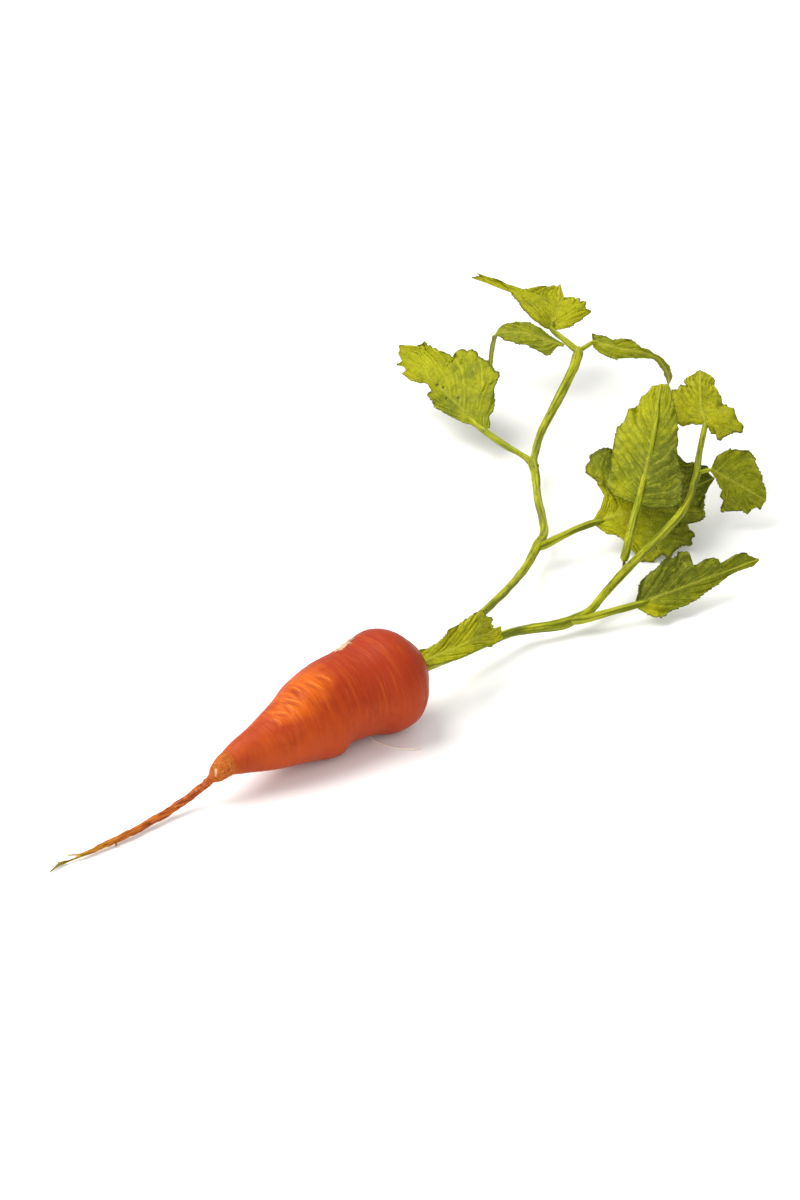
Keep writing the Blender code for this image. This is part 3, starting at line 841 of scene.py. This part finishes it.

# %% [markdown]
# ## Leaflets
# A leaflet is a thin blade on a midrib: side veins run out and forward to its lobes, the blade
# bulges and crumples between them, and its edge is cut into small teeth. A blade could be cut
# from a plane, but then its faces would ignore the veins. So a grid is laid down whose middle
# line is the midrib: its points are moved so that the grid's long edges follow the leaf's
# outline, and everything else is worked out from how far along and how far out a point is.
#
# Each leaflet is described by:
# - midrib: points of its middle line in mm, from base to tip;
# - left and right: its outline, as (mm along the midrib, mm out from it) from base to tip, and
#   start, where the blade begins along the midrib, -1 mm if it isn't given;
# - side: which way its left half points, tip_side: the same near a tip that twists, and fold:
#   how far both halves are folded up, in degrees;
# - palm: how much the side veins crowd towards the base, as in a hand-shaped leaf;
# - tone: how ripe the green is at the base and at the tip, and how much more on the left; part of it is
#   painted light, an end or a side painted lighter where it faces the lamp and darker where it turns
#   away;
# - shades: small dark spots, and broader patches of painted shade with a few of painted light, as (mm
#   along, mm out, size in mm, change of tone).

# %% Leaflets: their shapes
# A thin tip that hangs down to the floor shows its face when it lies across the line of sight
LYING_ACROSS = (0.743, -0.669, 0.0)
LEAVES = {
    "leaf_basal": dict(
        midrib=[(22, -3, 25), (37, -5, 26), (62, -1, 23)], side=(-0.04, 0.83, 0.56), fold=8, start=-8,
        palm=0.4, tone=(0.85, 0.95, 0.15),
        left=[(-5, 5.2), (-1, 4.9), (3, 4.9), (8, 6.2), (12, 7.6), (16, 8.3), (21, 8.8), (26, 9.3),
              (29.5, 9.8), (35, 9.5), (35, 7.5), (38, 7), (41, 5), (38, 4), (38.6, 2.1), (35, 1.9),
              (38, 0.5), (40, 0.4)],
        right=[(-1.4, -3.6), (4, -4.3), (8.5, -4.8), (15, -5), (23, -4.5), (27, -5.8), (32.5, -5.5),
               (37, -4.9), (39, -2.5)]),
    "leaf_left": dict(
        midrib=[(191, 150, 17), (197, 184, 23), (199, 217, 30)], side=(0.77, -0.21, 0.61), start=-2,
        palm=0.55, tone=(0.5, 1.05, -0.1),
        shades=[(38.5, 0.0, 0.6, -4), (35, 1.2, 0.55, -4), (28.5, -1.5, 0.5, -3.6),
                (23.5, 2.5, 0.45, -3.4), (20, -3, 7, -0.5), (31, -5, 5, -0.6), (30, 14, 6, -0.3)],
        left=[(-4, 3.4), (1.3, 7.5), (5.6, 11.8), (11.3, 17.2), (15.1, 22), (16.2, 25.4), (19.7, 24),
              (23.2, 24.7), (27.1, 25.1), (30.9, 24.1), (32.5, 23.5), (35.3, 24.6), (37.8, 24.1),
              (38.5, 21.4), (40.6, 21.5), (43.1, 20.6), (43.1, 18.5), (41.5, 15.7), (44, 14.5),
              (47.3, 14.7), (51, 13.9), (55.7, 12.5), (59.6, 11.1), (61.4, 12.6), (60.9, 10),
              (66.2, 6.4), (69.9, 4), (71.4, 2.5), (68.7, 1.2)],
        right=[(5.4, -2), (9.4, -3.8), (14.8, -5.2), (19.7, -6.9), (24.8, -8), (29.8, -8.3),
               (34.3, -6.9), (37, -6.8), (38.3, -3.9), (41.8, -2.8), (44, -3), (47, -5.3), (49.6, -6.5),
               (52.2, -7), (55.6, -6.8), (58.5, -6.9), (57.6, -4.2), (60.6, -3.7), (64, -5.4),
               (63, -2.1)]),
    "leaf_top": dict(
        midrib=[(267, 180, 34), (281, 190, 38), (293, 201, 42)], side=(-0.66, 0.73, 0.2), fold=10,
        palm=0.5, tone=(0.85, 1.05, 0.05),
        left=[(-0.2, 7.9), (-0.9, 11.5), (2.4, 14.9), (7.5, 19.3), (10.4, 22.6), (14.4, 24.4),
              (17.2, 27), (18.6, 30.5), (19, 34.2), (17.4, 38.2), (15, 40.8), (17, 40), (12.1, 45.6),
              (18.4, 40.8), (19.8, 43.4), (20.3, 37.7), (20.4, 34.5), (19.8, 29.1), (19.2, 24.3),
              (20.1, 20.1), (23.7, 16.1), (25.9, 12), (28.1, 10), (29.7, 5.8), (33, 3.2), (29, 2.8)],
        right=[(0.6, -2.6), (2.2, -6.3), (5.4, -9.6), (10, -12.7), (14.1, -14.5), (17.4, -17),
               (16.4, -14.1), (18.6, -13.2), (21, -13.4), (20.4, -10.6), (23.3, -10.3), (25, -9.3),
               (23.6, -5.8), (23.3, -2.6), (27.2, -1.7)]),
    "leaf_curled": dict(
        midrib=[(260.5, 169.5, 32), (255, 182, 34), (249.5, 198, 31), (251, 204, 24),
                (257.5, 212.5, 12), (262, 218, 1.4)], side=(0.68, 0.45, 0.57), tip_side=LYING_ACROSS,
        start=-4, palm=0.3, tone=(0.2, 0.7, 0.0),
        left=[(2.4, 1.8), (6.7, 2.9), (10.4, 4.4), (14.2, 5.1), (18.5, 5.5), (23.9, 5.6), (29.5, 5.2),
              (34, 3), (38, 1.7), (44, 1.2), (69, 1.0)],
        right=[(-1.3, -1.6), (-0.3, -4.3), (0.3, -6.4), (1.4, -7.5), (3.6, -7.3), (6.8, -7.4),
               (11.3, -6.5), (16.1, -6.2), (22, -5.7), (27, -4.7), (30, -2.4), (38, -1.4), (44, -1.2),
               (69, -1.0)]),
    "leaf_drooping": dict(
        midrib=[(276, 159, 31), (282, 147, 30), (294, 136, 26), (300, 134, 19), (307, 137.5, 10),
                (312, 142, 2.5)], side=(0.58, 0.31, 0.75), tip_side=LYING_ACROSS, palm=0.3,
        tone=(0.45, 0.5, 0.1),
        left=[(-2.6, 4.1), (0.6, 3.9), (4.6, 4.3), (8.8, 3.2), (12.5, 5.1), (15.7, 5.3), (18.9, 5.4),
              (20.6, 4.2), (23.4, 2.4), (27.5, 2.4), (30, 1.2), (35, 1.6), (41, 2.3), (47, 1.7),
              (52, 1.9), (59, 0.8)],
        right=[(0.5, -2.5), (4.9, -4.5), (8.2, -5.3), (12.6, -5.2), (16.9, -3.7), (22.3, -3.1),
               (27.3, -2), (31, -1.2), (36, -1.7), (44, -1.6), (50, -1.9), (59, -0.8)]),
    "leaf_broad": dict(
        midrib=[(170, 50, 14), (194, 38, 19), (230, 33, 22)], side=(0.08, 0.73, 0.68), palm=0.5,
        tone=(1.2, 0.1, -0.1),
        shades=[(17, 27, 9, -1.2), (32, -20, 13, -0.7), (50, 2, 14, -0.4)],
        left=[(4.3, 5.5), (7, 9.6), (8.9, 14.4), (5.7, 16.4), (8.3, 19), (5.3, 20.9), (3, 24.1),
              (5.2, 26.9), (6.5, 28.4), (6.2, 30.5), (9.2, 31.5), (12.5, 32.1), (15.7, 31.8),
              (19, 30.1), (27.5, 31.9), (38.5, 30.1), (47.2, 24.2), (52.2, 16.9), (52.5, 13.6),
              (54.8, 11.6), (58, 10.9), (60.7, 7.7), (63.7, 4.9), (61.5, 4.2)],
        right=[(2.8, -5.3), (6.9, -8), (9.8, -11.2), (12.4, -17.9), (14.8, -23.1), (16.8, -25.2),
               (19.2, -25.2), (21.6, -23.7), (23.3, -23.4), (25.1, -25.7), (26.8, -24.4), (29.2, -23.5),
               (32.1, -22.6), (36.1, -24.4), (36.6, -21.9), (39.7, -20.7), (38, -17.9), (35.3, -14.1),
               (38.3, -14.5), (46.3, -15.4), (49.3, -14.3), (48.4, -11.4), (51.5, -9), (54.4, -5.3),
               (58.2, -3.1)]),
    "leaf_upright": dict(
        midrib=[(180, 33, 27), (199, 45, 42), (233, 72, 55)], side=(-0.63, 0.78, 0.03), palm=0.35,
        tone=(0.1, 0.9, 0.3),
        shades=[(16, -11, 10, -0.7), (30, -8, 7, -0.5), (6, 8, 5, 0.4)],
        left=[(1.2, 7.3), (2.2, 12.2), (4.9, 15.6), (9.3, 16.2), (13.6, 15.7), (19.3, 16.3), (26, 17),
              (31.8, 16.9), (38.5, 16.8), (42.6, 16.3), (45.6, 14.4), (48.6, 13.3), (52.2, 12.8),
              (52.4, 10.8), (56.8, 9.1), (59.8, 8.3), (63.9, 8), (64.8, 6.2), (67.8, 4.6), (70.6, 4.1),
              (70.9, 1.9)],
        right=[(-1.3, -3.8), (-0.9, -8.4), (0.6, -13.2), (3.4, -17.4), (5.7, -19.1), (10.6, -18.5),
               (16.1, -16.8), (18.1, -18.1), (19.7, -15.5), (24.5, -13.3), (29.9, -11.6), (36.1, -12),
               (42.4, -10.5), (49.1, -10.3), (55.7, -8.2), (61.1, -6.7), (66.4, -5.2), (72.3, -3.6)]),
    "leaf_spear": dict(
        midrib=[(245.5, 54.5, 37), (257, 69, 42), (273, 85, 44)], side=(-0.73, 0.65, 0.23), palm=0.45,
        tone=(0.95, 0.8, 0.15),
        left=[(-1.2, 3.3), (-0.5, 7.1), (-0.5, 11), (-0.3, 13.4), (5.4, 14.2), (11.1, 14.8),
              (15.9, 15.2), (17.8, 11.8), (21.2, 10.2), (23.1, 6.7), (28.5, 7.6), (32.1, 5.9),
              (34.6, 3.7), (39.7, 1.7)],
        right=[(-5.9, -1.5), (-7.9, -1.7), (-5, -6), (-8.1, -6.1), (-5.6, -10.8), (-2.7, -15.1),
               (-1.5, -18.2), (1.3, -19.1), (3.4, -16.9), (7.1, -15), (10.5, -14), (12.6, -12.8),
               (16.6, -12), (22.7, -10.6), (25.4, -8.2), (28.3, -6.5), (35.8, -6.5), (37.7, -4.4),
               (40.5, -2.4)]),
    "leaf_side": dict(
        midrib=[(224.3, 28.9, 30), (234, 21, 22), (243, 12, 14)], side=(0.6, -0.08, 0.8), palm=0.45,
        tone=(0.5, 0.45, 0.15),
        left=[(-1.9, 4.2), (-1.6, 6.4), (-0.1, 9.4), (1.8, 11.9), (5.2, 13.7), (8.9, 15.1),
              (11.2, 15.8), (14.2, 14.4), (18.5, 10.9), (23.1, 7.1), (26.9, 3.9)],
        right=[(3.4, -2.6), (7.1, -4.9), (10.1, -6.1), (9.2, -9), (12.3, -9.7), (13, -11.9),
               (14.3, -14.5), (19, -12), (22.9, -9.2), (25.6, -9.8), (25.9, -6.9), (27, -4.4),
               (29.2, -4.5), (29.5, -1.1)]),
    "leaf_low": dict(
        midrib=[(137, -10, 9), (164, -17, 12), (200, -24, 14)], side=(0.1, 0.67, 0.74), palm=0.45,
        tone=(0.1, 0.4, -0.3),
        shades=[(5, -5, 5, 0.7), (18, 9, 9, -0.6)],
        left=[(3, 4.9), (5.8, 8.7), (8.9, 10), (13.2, 11.5), (16.8, 12.6), (19.7, 14.5), (22.8, 14.4),
              (24.5, 13.4), (27.1, 14.4), (28.8, 15.8), (32.9, 14.4), (31.6, 10.5), (30.5, 7),
              (35, 7.4), (40.2, 8.1), (43.3, 7.6), (44.8, 6.2), (44.2, 3.9), (48.3, 4.5), (53.2, 5.4),
              (57.6, 5.4), (60, 4.7), (60.8, 2.9)],
        right=[(2, -4.9), (4.3, -7.2), (7.5, -9.3), (11.5, -8.3), (14.9, -7.6), (21.1, -7.8),
               (27.1, -7.2), (33.8, -5.3), (41.1, -3.8), (47.4, -2), (53.2, -1.5), (61.1, -1.8)]),
}
ROWS = 240
COLUMNS = 64
BLADE_THICKNESS = 0.34 * MM
TOOTH_PITCH = 2.7
TOOTH_HEIGHT = 0.75
TOOTH_CREST = 0.75
FEWEST_VEINS = 4
MM_PER_VEIN = 16
LOWEST = 0.35
print("leaflets:", len(LEAVES), "grid", COLUMNS, "x", ROWS)


# %% Leaflets: outline with fine teeth
def outline(points, rows, seed):
    """An edge from base to tip in even steps, with forward-pointing teeth, in mm."""
    rough = np.array(points, dtype=float)
    reach = lengths_along(np.column_stack([rough, np.zeros(len(rough))]))
    steps = np.linspace(0, reach[-1], rows + 1)
    edge = np.column_stack([np.interp(steps, reach, rough[:, k]) for k in (0, 1)])
    edge[1:-1] = (edge[:-2] + 2 * edge[1:-1] + edge[2:]) / 4
    heading = np.gradient(edge, axis=0)
    heading /= np.linalg.norm(heading, axis=1)[:, None] + 1e-9
    outward = np.column_stack([-heading[:, 1], heading[:, 0]]) * np.sign(rough[1:-1, 1].mean())
    uneven = np.array([noise.noise(Vector((s * 0.17, seed * 3.7, 0))) for s in steps])
    sweep = (steps / TOOTH_PITCH + uneven * 2.2) % 1.0
    tooth = np.where(sweep < TOOTH_CREST, (sweep / TOOTH_CREST) ** 1.3,
                     (1 - sweep) / (1 - TOOTH_CREST))
    room = np.clip(np.abs(edge[:, 1]) / 6, 0.08, 1) * np.clip(steps / 4, 0, 1)
    height = tooth * TOOTH_HEIGHT * np.clip(0.7 + 1.2 * uneven, 0, 1.5) * room
    return edge + outward * height[:, None] + heading * (tooth * 0.4 * room)[:, None]


# %% Leaflets: where the side veins run
def vein_phase(share, out, palm):
    """A number that is the same all along a side vein: 0 to about 1 from base to tip."""
    crowding = 1 - palm
    lead = 0.45 * palm + 0.12
    return (share - lead * out) / (crowding + (1 - lead - crowding) * out)


# %% Leaflets: along and across the midrib
def along_midrib(curve, distance):
    """Places and directions at distances along the midrib, straight on past its ends."""
    reach = lengths_along(curve)
    inside = np.clip(distance, 0, reach[-1])
    place = np.column_stack([np.interp(inside, reach, curve[:, k]) for k in range(3)])
    slope = np.gradient(curve, reach, axis=0)
    direction = np.column_stack([np.interp(inside, reach, slope[:, k]) for k in range(3)])
    direction /= np.linalg.norm(direction, axis=1)[:, None]
    return place + direction * (distance - inside)[:, None], direction


def across_midrib(shape, direction, share):
    """Unit vectors out to the left and up from the blade, for each point of the midrib."""
    side = np.tile(np.array(shape["side"]), (len(share), 1))
    turned = np.clip((share - 0.45) / 0.3, 0, 1)[:, None]
    side = side * (1 - turned) + np.array(shape.get("tip_side", shape["side"])) * turned
    outward = side - direction * np.sum(direction * side, axis=1)[:, None]
    outward /= np.linalg.norm(outward, axis=1)[:, None]
    return outward, np.cross(direction, outward)


# %% Leaflets: bend a grid into a blade
def make_leaf(shape, seed):
    curve = smooth(shape["midrib"], 24)
    length = lengths_along(curve)[-1]
    start = shape.get("start", -1)
    left = outline([(start, 0.7), *shape["left"], (length, 0.3)], ROWS, seed)
    right = outline([(start, -0.7), *shape["right"], (length, -0.3)], ROWS, seed + 50)

    select_nothing()
    bpy.ops.mesh.primitive_grid_add(x_subdivisions=COLUMNS, y_subdivisions=ROWS, size=2)
    leaf = bpy.context.object
    grid = read_places(leaf.data)
    across = grid[:, 0]
    out = np.abs(across)
    row = np.rint((grid[:, 1] + 1) / 2 * ROWS).astype(int)
    share = row / ROWS

    edge = np.where((across > 0)[:, None], left[row], right[row])
    spine = np.column_stack([start + (length - start) * share, np.zeros(len(share))])
    flat = spine + (edge - spine) * out[:, None]
    width = np.linalg.norm(edge - spine, axis=1)
    room = np.clip(width / 9, 0, 1) * np.clip(1.9 - width / 24, 0.15, 1)

    veins = FEWEST_VEINS + round(length / MM_PER_VEIN)
    phase = vein_phase(share, out, shape["palm"]) * veins + np.where(across > 0, 0.25, 0.0)
    from_vein = np.abs(phase % 1.0 - 0.5)
    vein = bell(from_vein, 0.055) * (1 - 0.55 * out) * np.clip(width / 4, 0, 1)
    veinlet = bell(np.abs((phase * 3) % 1.0 - 0.5), 0.13) * out * (1 - vein)
    midrib = np.exp(-(flat[:, 1] / (0.75 - 0.45 * share)) ** 2)
    flow = np.column_stack([phase * 0.9, across * 1.4, np.full(len(share), seed * 9.0)])

    blade = np.column_stack([flat, np.zeros(len(flat))]) * MM
    lift = wobble(blade, (14 * MM,) * 3, seed + 100) * 2.6
    lift += wobble(flow, (0.9, 0.9, 1.0), seed) * (0.3 + out) * 1.5
    lift += wobble(blade, (3.6 * MM,) * 3, seed + 9) * (0.3 + 0.7 * out) * 0.55
    lift += np.cos((phase % 1.0 - 0.5) * 2 * math.pi) * -0.42 * np.sqrt(out)
    lift += vein * 0.42 + veinlet * 0.1
    lift += out ** 5 * wobble(blade, (6 * MM,) * 3, seed + 60) * 1.2
    lift = lift * room + midrib * 0.4

    centre, direction = along_midrib(curve, flat[:, 0])
    outward, up = across_midrib(shape, direction, share)
    fold = math.radians(shape.get("fold", 0))
    sideways = flat[:, 1]
    places = centre + outward * (sideways * math.cos(fold))[:, None]
    places += up * (np.abs(sideways) * math.sin(fold) + lift)[:, None]
    places[:, 2] = np.maximum(places[:, 2], LOWEST)
    write_places(leaf.data, places * MM)

    # The tone is partly the leaflet's own green and partly painted light: an end or a side of some
    # blades is painted darker where it turns away from the lamp, and lighter where it faces it. The
    # shades add small dark spots and broader patches of painted shade and painted light.
    tone = np.interp(share, [0, 1], shape["tone"][:2]) + across * shape["tone"][2] * room
    for x, y, size, change in shape.get("shades", []):
        tone += change * bell(np.linalg.norm(flat - (x, y), axis=1), size)
    store(leaf.data, "blade", blade)
    store(leaf.data, "flow", flow)
    store(leaf.data, "veins", np.column_stack([vein, midrib, veinlet]))
    store(leaf.data, "tone", tone)
    thicken = leaf.modifiers.new("thickness", "SOLIDIFY")
    thicken.thickness = BLADE_THICKNESS
    thicken.offset = 0
    bpy.ops.object.modifier_apply(modifier="thickness")
    return leaf


# %% [markdown]
# ## Leaflets: their colour
# The blade goes from dark green to yellow-green with its age, and it is paler along the veins. Light is
# painted on it too: parts of some blades are painted darker as shade where they turn away from the
# lamp, or lighter where they face it, and the rim of every blade is painted darker as shade. One finish
# serves all ten: each mesh carries its own veins and its own tone, painted light included, as
# attributes. Streaks follow the "flow" of the veins. The net of veinlets reads the blade's flat place
# in metres, so its cells have the same size on every leaflet.


# %% Leaflet finish
NET_CELLS_PER_METRE = 480


def leaf_finish():
    green = Finish("leaf_green", Specular_IOR_Level=0.14)
    flat = green.attribute("blade")
    flow = green.attribute("flow")
    tone = green.attribute_value("tone")
    vein, midrib, veinlet = green.parts(green.attribute("veins"))
    net = green.add("ShaderNodeTexVoronoi", {"feature": "DISTANCE_TO_EDGE"},
                    {"Vector": flat, "Scale": NET_CELLS_PER_METRE})[0]
    meshwork = 1 - green.step(net, 0.02, 0.11)
    fine = green.grain(flat, (1300, 1300, 1300), detail=2)
    patches = green.grain(flat, (100, 100, 100), detail=4)
    mottle = green.grain(flat, (250, 250, 250), detail=5, roughness=0.65)
    streaks = green.grain(flow, (3.4, 1.9, 1), detail=5, roughness=0.65)
    out = abs(green.parts(flow)[1]) / 1.4

    # The ramp reads the tone, which holds painted light and shade as well as the green's own ripeness,
    # plus patches and streaks.
    ripeness_and_shading = tone + (patches - 0.5) * 1.1 + (streaks - 0.5) * 0.5
    tint = green.ramp(ripeness_and_shading, [
        (0.0, (0.09, 0.112, 0.002)), (0.35, (0.165, 0.188, 0.002)),
        (0.65, (0.245, 0.26, 0.001)), (1.0, (0.365, 0.36, 0.001))])
    tint = green.stain(tint, (streaks, 0.54, 0.68, 0.4), (0.44, 0.44, 0.01))
    tint = green.stain(tint, (1 - streaks, 0.53, 0.66, 0.5), (0.075, 0.095, 0.001))
    tint = green.stain(tint, (mottle, 0.52, 0.66, 0.28), (0.43, 0.43, 0.005))
    tint = green.stain(tint, (1 - mottle, 0.51, 0.64, 0.36), (0.088, 0.112, 0.001))
    tint = green.mix(meshwork * 0.16, tint, (0.36, 0.37, 0.03))
    tint = green.mix(veinlet * 0.14, tint, (0.38, 0.39, 0.03))
    broken = green.step(mottle, 0.42, 0.56) * 0.7 + 0.2
    tint = green.mix(vein * broken * 0.8, tint, (0.5, 0.5, 0.06))
    tint = green.mix(midrib * 0.5, tint, (0.43, 0.43, 0.04))
    # Painted shade along the rim of every blade.
    tint = green.stain(tint, (out, 0.93, 0.99, 0.7), (0.055, 0.062, 0.003))
    tint = green.stain(tint, (0.0 - tone, 0.9, 1.5, 1.0), (0.02, 0.018, 0.004))
    sheen = 0.52 + (patches - 0.5) * 0.2 - vein * 0.05
    height = meshwork * 0.3 + fine * 0.3 + streaks * 0.6 + mottle * 0.8 + patches * 0.5
    return green.finish(tint, sheen, height, GREEN_DEPTH)


# %% Leaflets: make them
leaf_material = leaf_finish()
print(leaf_material.name, "nodes", len(leaf_material.node_tree.nodes))
for seed, (name, shape) in enumerate(LEAVES.items()):
    leaf = make_leaf(shape, seed)
    settle(leaf, name + "_blade", [name], leaf_material)

# %% [markdown]
# ## The sizes
# Both boxes, of the solids and of the finer pieces, are printed before the frame is closed.
# The finer pieces may stand only a little proud of the solids.

# %% Sizes
visual_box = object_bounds()
sizes = {"cad": [list(corner) for corner in CAD_BOX],
         "visual": [list(corner) for corner in visual_box]}
for label, box in sizes.items():
    print(label, "box mm", [round((high - low) / MM, 1) for low, high in zip(*box)])
